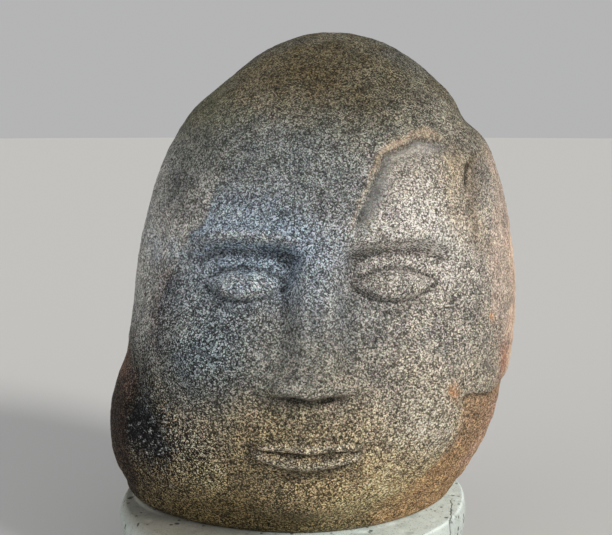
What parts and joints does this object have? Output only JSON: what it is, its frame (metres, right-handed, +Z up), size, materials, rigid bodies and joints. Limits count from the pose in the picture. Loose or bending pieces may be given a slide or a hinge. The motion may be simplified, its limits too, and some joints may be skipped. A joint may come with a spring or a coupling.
{
  "type": "colossal stone head",
  "caption": "Colossal carved stone head, a bald leaning boulder with a calm face in low relief, bedded in a low round concrete plinth.",
  "frame": {"origin": "middle of the plinth's flat underside, on the ground", "axes": "+Z up, the face towards -Y, the viewer's right +X"},
  "size_m": [1.2089, 1.159, 1.6147],
  "materials": {
    "weathered_stone": "pecked and weathered, grey with ochre and rusty patches",
    "pale_concrete": "rough cast concrete, pale greenish grey"
  },
  "bodies": {
    "root": {"stone_head": "weathered_stone", "plinth": "pale_concrete"}
  },
  "joints": []
}
